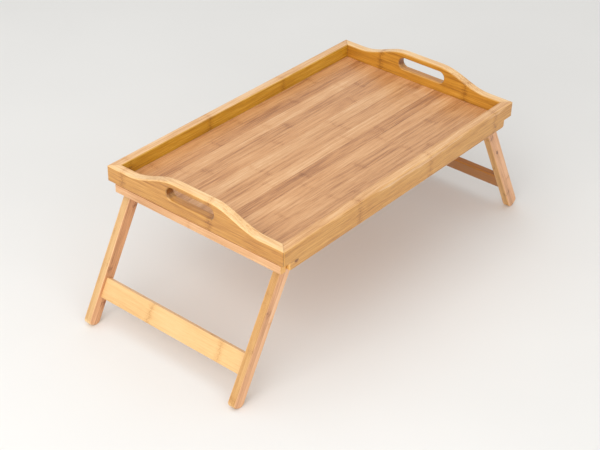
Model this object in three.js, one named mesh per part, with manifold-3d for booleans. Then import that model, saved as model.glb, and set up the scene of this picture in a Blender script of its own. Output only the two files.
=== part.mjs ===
// Folding tray table: a mitred bamboo tray on two folding leg frames.
// Millimetres, +Z up, X along the tray and Y across it. The origin lies on the surface
// that the feet stand on, under the middle of the tray. The legs are shown unfolded.

import * as THREE from 'three';
import { mergeVertices } from 'three/addons/utils/BufferGeometryUtils.js';
import Module from 'manifold-3d';

const wasm = await Module();
wasm.setup();

// ---------------------------------------------------------------- driving dimensions

const CLEARANCE = 0.3;          // gap between pieces that touch or run on each other

const TRAY_LENGTH = 500;
const TRAY_WIDTH = 300;
const RIM_HEIGHT = 210;         // straight top edge of the frame above the standing surface
const BOARD = 14;               // thickness of the four frame boards
const BOARD_ROUND = 2.4;        // rounding along the boards' edges
const END_DEPTH = 23.5;         // end board, from the straight rim down
const RAIL_DEPTH = 34.2;        // side rail, from the straight rim down
const NOTCH_LENGTH = 17.6;      // step cut under a side rail's end, left open
const BATTEN_NOTCH = 11.4;      // step under its other end, which the stop batten fills
const NOTCH_ROUND = 4;

const CREST_HEIGHT = 19.5;      // handle crest above the straight rim
const CREST_HALF = 30;          // half of the crest's flat top
const CREST_FOOT = 112;         // where the crest's slope meets the rim, from the middle
const CREST_EASE = 0.364;       // handle length of the S-shaped slope, as a share of its run
const SLOT_LENGTH = 80;
const SLOT_HEIGHT = 18;
const SLOT_CENTRE = 2.7;        // slot's middle above the straight rim
const LEFT_SLOT_SHIFT = 3.5;    // the left board's slot sits this far to the back

const FLOOR_DROP = 19.5;        // from the straight rim down to the tray's floor
const FLOOR_THICKNESS = 3.7;
const TONGUE_DROP = 0.9;        // panel's edge tongue, below the tray's floor
const HOUSING = 5;              // how far the tongue is let into the boards

const BATTEN_LENGTH = 281.5;
const BATTEN_WIDTH = 11;
const BATTEN_DEPTH = 11.4;
const BATTEN_SHIFT = 4.25;      // each batten sits a little to the right, seen from its own end
const BATTEN_ROUND = 1.5;

const SPLAY = THREE.MathUtils.degToRad(28.3);
const PIVOT_FROM_END = 37;      // pivot axis in from the tray's end
const PIVOT_DROP = 28.5;        // pivot axis down from the straight rim
const LEG_WIDTH = 19;
const LEG_THICKNESS = 11.8;
const LEG_INSET = 15.6;         // leg's outer side, in from the rail's outer face
const LEG_ROUND = 1.3;
const PIVOT_INSET = 5;          // pivot axis behind the leg's inner face
const SHOULDER_ROUND = 2.5;
const FOOT_ROUND = 8;
const HEEL_ROUND = 6.5;

const BAR_TOP = 137.6;          // crossbar's top edge down the leg from the pivot
const BAR_HEIGHT = 28.5;
const BAR_THICKNESS = 9;
const BAR_ROUND = 1.6;

const SHOULDER_RADIUS = 2.5;    // pivot screw
const THREAD_RADIUS = 2;
const THREAD_LENGTH = 10;
const THREAD_CHAMFER = 0.8;
const SCREW_HEAD_RADIUS = 4.5;
const SCREW_HEAD_HEIGHT = 2.6;
const SCREW_HEAD_RIM = 0.8;     // straight rim under the head's dome
const WASHER_THICKNESS = 0.9;

const BATTEN_SCREW_RADIUS = 1.6;
const BATTEN_SCREW_HEAD = 3.4;
const BATTEN_SCREW_LENGTH = 22;
const BATTEN_SCREW_RIM = 0.4;   // straight rim of the countersunk head
const BATTEN_SCREW_CONE = 2.4;
const BATTEN_SCREW_TIP = 4;
const BATTEN_SCREW_POINT = 0.4; // radius of its blunt point
const BATTEN_SCREW_INSET = 5.5;  // screw line in from the tray's end
const BATTEN_SCREW_SPACING = 105;

const DOWEL_RADIUS = 2.5;
const DOWEL_IN_LEG = 7.5;
const DOWEL_IN_BAR = 12;
const DOWEL_SPACING = 14;

const KEY_ACROSS = 7;           // loose key across each mitre
const KEY_ALONG = 6.4;
const KEY_THICKNESS = 2.4;
const KEY_DROP = 10;            // key's middle down from the straight rim

const OVERRUN = 1;              // how far a cutter runs past the face that it opens
const CORNER_STEPS = 4;         // straight steps in a small rounded corner
const CREST_STEPS = 8;          // straight steps in each curve of the handle
const BEVEL_STEPS = 2;
const ROUND_SEGMENTS = 16;

// ---------------------------------------------------------------- derived dimensions

const HALF_LENGTH = TRAY_LENGTH / 2;
const HALF_WIDTH = TRAY_WIDTH / 2;
const INNER_WIDTH = HALF_WIDTH - BOARD;
const HOUSED_LENGTH = HALF_LENGTH - BOARD + HOUSING;
const HOUSED_WIDTH = HALF_WIDTH - BOARD + HOUSING;
const TONGUE_TOP = FLOOR_DROP + TONGUE_DROP;
const GROOVE_TOP = TONGUE_TOP - CLEARANCE;
const LEG_OUTSIDE = HALF_WIDTH - LEG_INSET;
const LEG_INSIDE = LEG_OUTSIDE - LEG_THICKNESS;
const LEG_OUTER_FACE = PIVOT_INSET - LEG_WIDTH;
const LEG_MIDDLE = PIVOT_INSET - LEG_WIDTH / 2;
const PIVOT_HEIGHT = RIM_HEIGHT - PIVOT_DROP;
const FOOT_CENTRE = (PIVOT_HEIGHT - FOOT_ROUND + (FOOT_ROUND - PIVOT_INSET) * Math.sin(SPLAY))
  / Math.cos(SPLAY);
const LEG_REACH = FOOT_CENTRE + FOOT_ROUND;
const BATTEN_TOP = END_DEPTH + CLEARANCE;
const BATTEN_BOTTOM = BATTEN_TOP + BATTEN_DEPTH;
const BAR_LENGTH = 2 * (LEG_INSIDE - CLEARANCE);
const BAR_MIDDLE = BAR_TOP + BAR_HEIGHT / 2;

// ---------------------------------------------------------------- materials

function wood(colour) {
  return new THREE.MeshStandardMaterial({ color: colour, roughness: 0.5, metalness: 0 });
}

const railWood = wood(0xd9a468);
const endWood = wood(0xdda75f);
const floorWood = wood(0xd7a379);
const battenWood = wood(0xf0d0a0);
const legWood = wood(0xe6b57e);
const barWood = wood(0xf2d196);
const innerWood = wood(0xcaa877);
const steel = new THREE.MeshStandardMaterial({ color: 0xb9bcc0, roughness: 0.3, metalness: 1 });
const nylon = new THREE.MeshStandardMaterial({ color: 0xe8e6df, roughness: 0.45, metalness: 0 });

// ---------------------------------------------------------------- geometry helpers

function toSolid(geometry) {
  const bare = geometry.clone();
  bare.deleteAttribute('normal');
  bare.deleteAttribute('uv');
  const merged = mergeVertices(bare, 1e-4);
  return new wasm.Manifold(new wasm.Mesh({
    numProp: 3,
    vertProperties: new Float32Array(merged.attributes.position.array),
    triVerts: new Uint32Array(merged.index.array),
  }));
}

function toGeometry(solid) {
  const mesh = solid.getMesh();
  const geometry = new THREE.BufferGeometry();
  geometry.setAttribute('position', new THREE.BufferAttribute(mesh.vertProperties, 3));
  geometry.setIndex(new THREE.BufferAttribute(mesh.triVerts, 1));
  const flat = geometry.toNonIndexed();
  flat.computeVertexNormals();
  return flat;
}

function cut(geometry, cutters) {
  let solid = toSolid(geometry);
  for (const cutter of cutters) {
    solid = solid.subtract(toSolid(cutter));
  }
  return toGeometry(solid);
}

function box(low, high) {
  const size = high.map((value, axis) => value - low[axis]);
  const middle = high.map((value, axis) => (value + low[axis]) / 2);
  return new THREE.BoxGeometry(...size).translate(...middle);
}

// A slab of the given outline, from 0 to its thickness, with both faces' edges rounded over.
function roundedSlab(shape, thickness, round, curveSegments = CORNER_STEPS) {
  const slab = new THREE.ExtrudeGeometry(shape, {
    depth: thickness - 2 * round,
    bevelThickness: round,
    bevelSize: round,
    bevelOffset: -round,
    bevelSegments: BEVEL_STEPS,
    curveSegments,
  });
  return slab.translate(0, 0, round);
}

// Stands a slab up, so that its outline lies in X and Z and its thickness runs from 0 to -Y.
function standAcross(slab) {
  return slab.rotateX(Math.PI / 2);
}

// Stands a slab up, so that its outline lies in Y and Z and its thickness runs from 0 to +X.
function standAlong(slab) {
  return slab.rotateX(Math.PI / 2).rotateZ(Math.PI / 2);
}

function cylinderAlongY(radius, from, to) {
  const geometry = new THREE.CylinderGeometry(radius, radius, to - from, ROUND_SEGMENTS);
  return geometry.translate(0, (from + to) / 2, 0);
}

// A turned piece about the Y axis. Its profile's points are [radius, height].
function latheAboutY(profile) {
  const points = profile.map(([radius, height]) => new THREE.Vector2(radius, height));
  return new THREE.LatheGeometry(points, ROUND_SEGMENTS);
}

function roundedRectangle(width, height, radius) {
  const x = width / 2;
  const y = height / 2;
  const shape = new THREE.Shape();
  shape.moveTo(-x + radius, -y);
  shape.lineTo(x - radius, -y);
  shape.absarc(x - radius, -y + radius, radius, -Math.PI / 2, 0, false);
  shape.lineTo(x, y - radius);
  shape.absarc(x - radius, y - radius, radius, 0, Math.PI / 2, false);
  shape.lineTo(-x + radius, y);
  shape.absarc(-x + radius, y - radius, radius, Math.PI / 2, Math.PI, false);
  shape.lineTo(-x, -y + radius);
  shape.absarc(-x + radius, -y + radius, radius, Math.PI, 1.5 * Math.PI, false);
  return shape;
}

// Wedge that trims one board at a mitred corner. Each sign picks the corner, and keepRail says
// whether the side rail or the end board keeps its side of the diagonal.
function mitreCutter(signX, signY, keepRail) {
  const spare = BOARD / 2;
  const far = BOARD + spare;
  const gap = CLEARANCE / Math.SQRT2 * (keepRail ? -1 : 1);
  const corners = keepRail
    ? [[-spare, -spare + gap], [far, far + gap], [-spare, far + gap]]
    : [[-spare, -spare + gap], [far, -spare], [far, far + gap]];
  const shape = new THREE.Shape(corners.map(([x, y]) => new THREE.Vector2(
    signX * (HALF_LENGTH - x),
    signY * (HALF_WIDTH - y),
  )));
  const height = RAIL_DEPTH + CREST_HEIGHT + 2 * spare;
  const wedge = new THREE.ExtrudeGeometry(shape, { depth: height, bevelEnabled: false });
  return wedge.translate(0, 0, -RAIL_DEPTH - spare);
}

// The loose key of one mitre, or the pocket for it when grown by the clearance.
function mitreKey(signX, signY, grow) {
  const key = new THREE.BoxGeometry(
    KEY_ALONG + 2 * grow,
    KEY_ACROSS + 2 * grow,
    KEY_THICKNESS + 2 * grow,
  );
  key.rotateZ(signX * signY * Math.PI / 4);
  return key.translate(
    signX * (HALF_LENGTH - BOARD / 2),
    signY * (HALF_WIDTH - BOARD / 2),
    -KEY_DROP,
  );
}

// ---------------------------------------------------------------- tray: heights are from the rim

function sideRail() {
  const filled = -HALF_LENGTH + BATTEN_NOTCH;
  const open = HALF_LENGTH - NOTCH_LENGTH;
  const outline = new THREE.Shape();
  outline.moveTo(-HALF_LENGTH, -END_DEPTH);
  outline.lineTo(filled, -END_DEPTH);
  outline.lineTo(filled, -RAIL_DEPTH + NOTCH_ROUND);
  outline.absarc(filled + NOTCH_ROUND, -RAIL_DEPTH + NOTCH_ROUND, NOTCH_ROUND,
    Math.PI, 1.5 * Math.PI, false);
  outline.lineTo(open - NOTCH_ROUND, -RAIL_DEPTH);
  outline.absarc(open - NOTCH_ROUND, -RAIL_DEPTH + NOTCH_ROUND, NOTCH_ROUND,
    -Math.PI / 2, 0, false);
  outline.lineTo(open, -END_DEPTH);
  outline.lineTo(HALF_LENGTH, -END_DEPTH);
  outline.lineTo(HALF_LENGTH, 0);
  outline.lineTo(-HALF_LENGTH, 0);
  const board = standAcross(roundedSlab(outline, BOARD, BOARD_ROUND));
  board.translate(0, -INNER_WIDTH, 0);

  const cutters = [
    box([-HOUSED_LENGTH, -HOUSED_WIDTH, -END_DEPTH], [HOUSED_LENGTH, 0, -GROOVE_TOP]),
  ];
  for (const side of [-1, 1]) {
    const hole = cylinderAlongY(
      THREAD_RADIUS + CLEARANCE,
      -INNER_WIDTH - THREAD_LENGTH - CLEARANCE,
      -INNER_WIDTH + OVERRUN,
    );
    hole.translate(side * (HALF_LENGTH - PIVOT_FROM_END), 0, -PIVOT_DROP);
    cutters.push(hole, mitreCutter(side, -1, true), mitreKey(side, -1, CLEARANCE));
  }
  return cut(board, cutters);
}

function handleSlot(shift) {
  const radius = SLOT_HEIGHT / 2;
  const reach = SLOT_LENGTH / 2 - radius;
  const slot = new THREE.Path();
  slot.moveTo(shift - reach, SLOT_CENTRE - radius);
  slot.lineTo(shift + reach, SLOT_CENTRE - radius);
  slot.absarc(shift + reach, SLOT_CENTRE, radius, -Math.PI / 2, Math.PI / 2, false);
  slot.lineTo(shift - reach, SLOT_CENTRE + radius);
  slot.absarc(shift - reach, SLOT_CENTRE, radius, Math.PI / 2, 1.5 * Math.PI, false);
  return slot;
}

function endBoard(slotShift) {
  const ease = (CREST_FOOT - CREST_HALF) * CREST_EASE;
  const outline = new THREE.Shape();
  outline.moveTo(-HALF_WIDTH, -END_DEPTH);
  outline.lineTo(HALF_WIDTH, -END_DEPTH);
  outline.lineTo(HALF_WIDTH, 0);
  outline.lineTo(CREST_FOOT, 0);
  outline.bezierCurveTo(CREST_FOOT - ease, 0, CREST_HALF + ease, CREST_HEIGHT,
    CREST_HALF, CREST_HEIGHT);
  outline.lineTo(-CREST_HALF, CREST_HEIGHT);
  outline.bezierCurveTo(-CREST_HALF - ease, CREST_HEIGHT, -CREST_FOOT + ease, 0,
    -CREST_FOOT, 0);
  outline.lineTo(-HALF_WIDTH, 0);
  outline.holes.push(handleSlot(slotShift));
  const board = standAlong(roundedSlab(outline, BOARD, BOARD_ROUND, CREST_STEPS));
  board.translate(-HALF_LENGTH, 0, 0);

  const rebate = box(
    [-HOUSED_LENGTH, -HOUSED_WIDTH, -END_DEPTH - OVERRUN],
    [0, HOUSED_WIDTH, -GROOVE_TOP],
  );
  const cutters = [rebate];
  for (const side of [-1, 1]) {
    cutters.push(mitreCutter(-1, side, false), mitreKey(-1, side, CLEARANCE));
  }
  for (const place of battenScrewPlaces()) {
    cutters.push(battenScrew(CLEARANCE).translate(...place));
  }
  return cut(board, cutters);
}

// The panel's face fits between the boards, and a thinner tongue round it fits in their grooves.
function floorPanel() {
  const corner = [HALF_LENGTH - BOARD - CLEARANCE, INNER_WIDTH - CLEARANCE];
  const housed = [HOUSED_LENGTH - CLEARANCE, HOUSED_WIDTH - CLEARANCE];
  const under = -FLOOR_DROP - FLOOR_THICKNESS;
  const face = box([-corner[0], -corner[1], under], [...corner, -FLOOR_DROP]);
  const tongue = box([-housed[0], -housed[1], under], [...housed, -TONGUE_TOP]);
  return toGeometry(toSolid(face).add(toSolid(tongue)));
}

// ---------------------------------------------------------------- stop battens and their screws

function battenScrewPlaces() {
  return [-1, 0, 1].map((step) => [
    -HALF_LENGTH + BATTEN_SCREW_INSET,
    -BATTEN_SHIFT + step * BATTEN_SCREW_SPACING,
    -BATTEN_BOTTOM + CLEARANCE,
  ]);
}

// Countersunk wood screw standing on its head, point up; grown, it is the screw's hole.
function battenScrew(grow) {
  const foot = grow > 0 ? -OVERRUN : 0;
  const profile = [
    [0, foot],
    [BATTEN_SCREW_HEAD + grow, foot],
    [BATTEN_SCREW_HEAD + grow, BATTEN_SCREW_RIM + grow],
    [BATTEN_SCREW_RADIUS + grow, BATTEN_SCREW_CONE + grow],
    [BATTEN_SCREW_RADIUS + grow, BATTEN_SCREW_LENGTH - BATTEN_SCREW_TIP + grow],
    [BATTEN_SCREW_POINT + grow, BATTEN_SCREW_LENGTH + grow],
    [0, BATTEN_SCREW_LENGTH + grow],
  ];
  return latheAboutY(profile).rotateX(Math.PI / 2);
}

function stopBatten() {
  const outline = new THREE.Shape();
  const low = -BATTEN_BOTTOM;
  const high = -BATTEN_TOP;
  outline.moveTo(-BATTEN_LENGTH / 2, low);
  outline.lineTo(BATTEN_LENGTH / 2, low);
  outline.lineTo(BATTEN_LENGTH / 2, high);
  outline.lineTo(-BATTEN_LENGTH / 2, high);
  const bar = standAlong(roundedSlab(outline, BATTEN_WIDTH, BATTEN_ROUND));
  bar.translate(-HALF_LENGTH, -BATTEN_SHIFT, 0);
  return cut(bar, battenScrewPlaces().map((place) => battenScrew(CLEARANCE).translate(...place)));
}

// ---------------------------------------------------------------- leg frames: pivot at the origin

// The leg hangs down from the pivot. Its top is cut level with the floor panel when unfolded,
// and is round about the pivot on the inner side, so that it clears the panel as it folds.
function leg() {
  const angle = Math.PI / 2 + SPLAY;
  const tangent = new THREE.Vector2(Math.cos(angle), Math.sin(angle)).multiplyScalar(PIVOT_INSET);
  const shoulder = tangent.y + (LEG_OUTER_FACE - tangent.x) * Math.tan(SPLAY);
  const outline = new THREE.Shape();
  outline.moveTo(PIVOT_INSET, 0);
  outline.absarc(0, 0, PIVOT_INSET, 0, angle, false);
  outline.lineTo(LEG_OUTER_FACE + SHOULDER_ROUND, shoulder + SHOULDER_ROUND * Math.tan(SPLAY));
  outline.quadraticCurveTo(LEG_OUTER_FACE, shoulder, LEG_OUTER_FACE, shoulder - SHOULDER_ROUND);
  outline.lineTo(LEG_OUTER_FACE, -LEG_REACH + HEEL_ROUND);
  outline.absarc(LEG_OUTER_FACE + HEEL_ROUND, -LEG_REACH + HEEL_ROUND, HEEL_ROUND,
    Math.PI, 1.5 * Math.PI, false);
  outline.lineTo(PIVOT_INSET - FOOT_ROUND, -LEG_REACH);
  outline.absarc(PIVOT_INSET - FOOT_ROUND, -FOOT_CENTRE, FOOT_ROUND, -Math.PI / 2, 0, false);
  const blank = standAcross(roundedSlab(outline, LEG_THICKNESS, LEG_ROUND));
  blank.translate(0, -LEG_INSIDE, 0);

  const cutters = [
    cylinderAlongY(SHOULDER_RADIUS + CLEARANCE, -LEG_OUTSIDE - OVERRUN, -LEG_INSIDE + OVERRUN),
  ];
  for (const [x, z] of dowelPlaces()) {
    const hole = cylinderAlongY(
      DOWEL_RADIUS + CLEARANCE,
      -LEG_INSIDE - DOWEL_IN_LEG - CLEARANCE,
      -LEG_INSIDE + OVERRUN,
    );
    cutters.push(hole.translate(x, 0, z));
  }
  return cut(blank, cutters);
}

function dowelPlaces() {
  return [-1, 1].map((side) => [LEG_MIDDLE, -BAR_MIDDLE + side * DOWEL_SPACING / 2]);
}

function dowel(end, [x, z]) {
  const face = end * LEG_INSIDE;
  const low = Math.min(face - end * DOWEL_IN_BAR, face + end * DOWEL_IN_LEG);
  const pin = cylinderAlongY(DOWEL_RADIUS, low, low + DOWEL_IN_BAR + DOWEL_IN_LEG);
  return pin.translate(x, 0, z);
}

function crossbar() {
  const section = roundedRectangle(BAR_THICKNESS, BAR_HEIGHT, BAR_ROUND);
  const bar = standAcross(new THREE.ExtrudeGeometry(section, {
    depth: BAR_LENGTH,
    bevelEnabled: false,
    curveSegments: CORNER_STEPS,
  }));
  bar.translate(LEG_MIDDLE, BAR_LENGTH / 2, -BAR_MIDDLE);
  const cutters = [];
  for (const [x, z] of dowelPlaces()) {
    for (const end of [-1, 1]) {
      const inner = end * (LEG_INSIDE - DOWEL_IN_BAR - CLEARANCE);
      const outer = end * (LEG_INSIDE + OVERRUN);
      const hole = cylinderAlongY(
        DOWEL_RADIUS + CLEARANCE,
        Math.min(inner, outer),
        Math.max(inner, outer),
      );
      cutters.push(hole.translate(x, 0, z));
    }
  }
  return cut(bar, cutters);
}

// Shoulder screw: driven from inside the leg, through it and the washer, into the side rail.
function pivotScrew() {
  const headSeat = -LEG_INSIDE + CLEARANCE;
  const shoulderEnd = -INNER_WIDTH + CLEARANCE;
  const tip = -INNER_WIDTH - THREAD_LENGTH;
  const profile = new THREE.Path();
  profile.moveTo(0, tip);
  profile.lineTo(THREAD_RADIUS - THREAD_CHAMFER, tip);
  profile.lineTo(THREAD_RADIUS, tip + THREAD_CHAMFER);
  profile.lineTo(THREAD_RADIUS, shoulderEnd);
  profile.lineTo(SHOULDER_RADIUS, shoulderEnd);
  profile.lineTo(SHOULDER_RADIUS, headSeat);
  profile.lineTo(SCREW_HEAD_RADIUS, headSeat);
  profile.lineTo(SCREW_HEAD_RADIUS, headSeat + SCREW_HEAD_RIM);
  profile.quadraticCurveTo(SCREW_HEAD_RADIUS, headSeat + SCREW_HEAD_HEIGHT,
    0, headSeat + SCREW_HEAD_HEIGHT);
  return new THREE.LatheGeometry(profile.getPoints(CORNER_STEPS), ROUND_SEGMENTS);
}

function pivotWasher() {
  const inner = SHOULDER_RADIUS + CLEARANCE;
  const low = -INNER_WIDTH + CLEARANCE;
  return latheAboutY([
    [inner, low],
    [PIVOT_INSET, low],
    [PIVOT_INSET, low + WASHER_THICKNESS],
    [inner, low + WASHER_THICKNESS],
    [inner, low],
  ]);
}

// ---------------------------------------------------------------- assembly

function add(parent, name, geometry, material) {
  const mesh = new THREE.Mesh(geometry, material);
  mesh.name = name;
  parent.add(mesh);
  return mesh;
}

// A level group with its origin on the straight rim, turned half round for the second side.
function rimGroup(turned) {
  const level = new THREE.Group();
  level.position.z = RIM_HEIGHT;
  level.rotation.z = turned ? Math.PI : 0;
  return level;
}

const group = new THREE.Group();

const railGeometry = sideRail();
const battenGeometry = stopBatten();
const screwGeometry = battenScrew(0);

const middle = rimGroup(false);
add(middle, 'floor_panel', floorPanel(), floorWood);
group.add(middle);

for (const turned of [false, true]) {
  const end = turned ? 'right' : 'left';
  const side = turned ? 'back' : 'front';
  const half = rimGroup(turned);
  add(half, `rail_${side}`, railGeometry, railWood);
  add(half, `end_board_${end}`, endBoard(turned ? 0 : LEFT_SLOT_SHIFT), endWood);
  add(half, `stop_batten_${end}`, battenGeometry, battenWood);
  battenScrewPlaces().forEach((place, index) => {
    add(half, `batten_screw_${end}_${index + 1}`, screwGeometry, steel).position.set(...place);
  });
  for (const across of [-1, 1]) {
    const corner = (across < 0) === turned ? 'back' : 'front';
    add(half, `mitre_key_${end}_${corner}`, mitreKey(-1, across, 0), innerWood);
  }
  group.add(half);
}

const legGeometry = leg();
const backLegGeometry = toGeometry(toSolid(legGeometry).mirror([0, 1, 0]));
const barGeometry = crossbar();
const pivotScrewGeometry = pivotScrew();
const washerGeometry = pivotWasher();

for (const turned of [false, true]) {
  const end = turned ? 'right' : 'left';
  const half = rimGroup(turned);
  const pivot = new THREE.Group();
  pivot.position.set(-HALF_LENGTH + PIVOT_FROM_END, 0, -PIVOT_DROP);
  half.add(pivot);
  const frame = new THREE.Group();
  frame.rotation.y = SPLAY;
  pivot.add(frame);

  add(frame, `crossbar_${end}`, barGeometry, barWood);
  for (const across of [-1, 1]) {
    const side = (across < 0) === turned ? 'back' : 'front';
    add(frame, `leg_${end}_${side}`, across < 0 ? legGeometry : backLegGeometry, legWood);
    dowelPlaces().forEach((place, index) => {
      add(frame, `bar_dowel_${end}_${side}_${index + 1}`, dowel(across, place), innerWood);
    });
    const hardware = new THREE.Group();
    hardware.rotation.z = across < 0 ? 0 : Math.PI;
    pivot.add(hardware);
    add(hardware, `pivot_screw_${end}_${side}`, pivotScrewGeometry, steel);
    add(hardware, `pivot_washer_${end}_${side}`, washerGeometry, nylon);
  }
  group.add(half);
}

export default group;
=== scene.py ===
"""Looks of the folding bamboo tray table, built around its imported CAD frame.

Metres, +Z up. The tray lies along X, and the origin is on the floor under its middle. Every wooden
piece is modelled with its grain along its own X, so that one bamboo material suits them all.
"""

import math

import bmesh
import bpy
from mathutils import Matrix, Vector
from mathutils.geometry import tessellate_polygon


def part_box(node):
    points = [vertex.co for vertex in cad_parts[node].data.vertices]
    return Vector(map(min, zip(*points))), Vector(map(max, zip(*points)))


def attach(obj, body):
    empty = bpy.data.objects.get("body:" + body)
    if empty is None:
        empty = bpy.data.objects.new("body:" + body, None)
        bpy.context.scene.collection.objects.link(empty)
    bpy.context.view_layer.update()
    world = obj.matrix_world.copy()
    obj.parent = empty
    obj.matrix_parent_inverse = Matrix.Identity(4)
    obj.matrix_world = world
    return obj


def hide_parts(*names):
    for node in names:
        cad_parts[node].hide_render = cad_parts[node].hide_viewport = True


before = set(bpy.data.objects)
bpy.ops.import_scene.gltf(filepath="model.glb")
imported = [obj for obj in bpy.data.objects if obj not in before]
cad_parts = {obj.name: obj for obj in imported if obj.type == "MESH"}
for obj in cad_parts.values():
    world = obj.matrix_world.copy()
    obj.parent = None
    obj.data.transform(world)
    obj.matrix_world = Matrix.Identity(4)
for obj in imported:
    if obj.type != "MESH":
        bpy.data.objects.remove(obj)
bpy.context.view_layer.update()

MM = 0.001
WELD = 1e-7                     # points closer than this count as one

# ------------------------------------------------------------------ sizes, from the frame

RAIL_LOW, RAIL_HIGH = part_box("rail_front")
END_LOW, END_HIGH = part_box("end_board_left")
PANEL_LOW, PANEL_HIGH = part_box("floor_panel")
BATTEN_LOW, BATTEN_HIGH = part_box("stop_batten_left")
LEG_LOW, LEG_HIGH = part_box("leg_left_front")
BAR_LOW, BAR_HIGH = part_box("crossbar_left")
WASHER_LOW, WASHER_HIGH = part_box("pivot_washer_left_front")
SCREW_LOW, SCREW_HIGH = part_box("pivot_screw_left_front")
BATTEN_SCREW_LOW, BATTEN_SCREW_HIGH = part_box("batten_screw_left_2")

HALF_LENGTH = -END_LOW.x
HALF_WIDTH = -RAIL_LOW.y
BOARD = RAIL_HIGH.y - RAIL_LOW.y
RIM = RAIL_HIGH.z
INNER_WIDTH = HALF_WIDTH - BOARD
PIVOT = Vector(((WASHER_LOW.x + WASHER_HIGH.x) / 2, 0, (WASHER_LOW.z + WASHER_HIGH.z) / 2))

# ------------------------------------------------------------------ shape details

GAP = 0.15 * MM                 # each board stops this far from a mitre's diagonal
OUTER_ROUND = 2.6 * MM          # frame boards, outside edges
INNER_ROUND = 1.9 * MM          # frame boards, inside edges
ROUND_STEPS = 5
NOTCH_LENGTH = 17.6 * MM        # open step under one end of each side rail
BATTEN_NOTCH = 11.4 * MM        # step under the other end, filled by the stop batten
NOTCH_ROUND = 4 * MM

CREST_HALF = 30 * MM            # half of the handle crest's flat top
CREST_FOOT = 112 * MM           # where its slope meets the straight rim
CREST_EASE = 0.364
SLOT_HALF = 40 * MM
SLOT_RADIUS = 9 * MM
LEFT_SLOT_SHIFT = 3.5 * MM      # the left board's slot sits this far to the back
SLOT_CENTRE = RIM + 2.7 * MM

STRIP = 20.2 * MM               # lamella width of the floor panel
STRIP_START = -6.2 * MM         # one of its glue lines
SEAM_WIDTH = 0.3 * MM
SEAM_DEPTH = 0.12 * MM
TONGUE_DROP = 0.9 * MM          # the panel's edge tongue lies this far below its face
TONGUE_TOP = PANEL_HIGH.z - TONGUE_DROP
TONGUE_WIDTH = 5 * MM

SPLAY = math.radians(28.3)
LEG_WIDTH = 19 * MM
LEG_ROUND = 1.5 * MM
PIVOT_INSET = 5 * MM            # pivot axis behind the leg's inner face
FOOT_ROUND = 8 * MM
HEEL_ROUND = 6.5 * MM
SHOULDER_ROUND = 3 * MM

BAR_MIDDLE = 151.85 * MM        # crossbar's centre line down the leg from the pivot
BAR_HEIGHT = 28.5 * MM
BAR_THICKNESS = 9 * MM
BAR_ROUND = 1.4 * MM
BATTEN_ROUND = 1.5 * MM

SHOULDER_RADIUS = 2.5 * MM      # pivot screw, from its head in the leg to its thread in the rail
THREAD_RADIUS = 2 * MM
THREAD_PITCH = 0.9 * MM
THREAD_DEPTH = 0.25 * MM
TIP_CHAMFER = 0.8 * MM
HEAD_HEIGHT = 2.6 * MM
HEAD_RIM = 0.8 * MM             # straight rim under the head's dome
DOME_STEPS = 8
HEX_RADIUS = 1.75 * MM
HEX_DEPTH = 1.5 * MM
BATTEN_SCREW_SPACING = 105 * MM
BATTEN_SHANK = 1.6 * MM         # batten screw: radius of its shank, length of its point
BATTEN_POINT = 4 * MM
BATTEN_TIP = 0.4 * MM
CONE_RIM = 0.4 * MM             # its countersunk head: rim and whole height
CONE_HEIGHT = 2.4 * MM
CROSS_ARM = 1.9 * MM            # its cross recess
CROSS_WIDTH = 0.7 * MM
CROSS_DEPTH = 1.3 * MM


# ------------------------------------------------------------------ mesh helpers

SHARP_ANGLE = math.radians(35)  # edges that bend more than this stay crisp
SHARPEST_INSET = 0.3            # keeps an inset corner from running far away


def arc(centre, radius, start, end, steps=8):
    """Points along a circle, angles in degrees."""
    angles = [math.radians(start + (end - start) * i / steps) for i in range(steps + 1)]
    return [(centre[0] + radius * math.cos(a), centre[1] + radius * math.sin(a)) for a in angles]


def bezier(p0, p1, p2, p3, steps=24):
    """Points along a cubic curve, without the first one."""
    made = []
    for i in range(1, steps + 1):
        t = i / steps
        s = 1 - t
        weights = (s**3, 3 * s * s * t, 3 * s * t * t, t**3)
        made.append(tuple(
            sum(w * p[k] for w, p in zip(weights, (p0, p1, p2, p3))) for k in (0, 1)
        ))
    return made


def inset(loop, distance):
    """The loop moved to its left by the distance, which is inwards when it runs anticlockwise."""
    moved = []
    for i, point in enumerate(loop):
        here = Vector(point)
        before = (here - Vector(loop[i - 1])).normalized()
        after = (Vector(loop[(i + 1) % len(loop)]) - here).normalized()
        left = Vector((-before.y, before.x))
        mitre = (left + Vector((-after.y, after.x))).normalized()
        moved.append(here + mitre * distance / max(mitre.dot(left), SHARPEST_INSET))
    return moved


def rounded_slab(loops, thickness, front_round, back_round):
    """A slab whose outlines lie in X and Z, centred on Y, with both faces' edges rounded over.
    The outer loop runs anticlockwise and a hole's runs clockwise, seen from -Y."""
    rings = []
    for sign, radius in ((-1, front_round), (1, back_round)):
        quarter = []
        for i in range(ROUND_STEPS + 1):
            angle = math.pi / 2 * i / ROUND_STEPS
            depth = radius * (1 - math.cos(angle))
            quarter.append((radius * (1 - math.sin(angle)), sign * (thickness / 2 - depth)))
        rings += quarter if sign < 0 else quarter[::-1]

    bm = bmesh.new()
    caps = {0: [], len(rings) - 1: []}
    for loop in loops:
        rows = []
        for distance, y in rings:
            rows.append([bm.verts.new((x, y, z)) for x, z in inset(loop, distance)])
        for low, high in zip(rows, rows[1:]):
            for i in range(len(loop)):
                bm.faces.new((low[i - 1], low[i], high[i], high[i - 1]))
        for row in caps:
            caps[row].append(rows[row])
    for outlines in caps.values():
        flat = [vert for outline in outlines for vert in outline]
        triangles = tessellate_polygon([[v.co for v in outline] for outline in outlines])
        for triangle in triangles:
            bm.faces.new([flat[i] for i in triangle])
    bmesh.ops.recalc_face_normals(bm, faces=bm.faces)
    return bm


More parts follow.
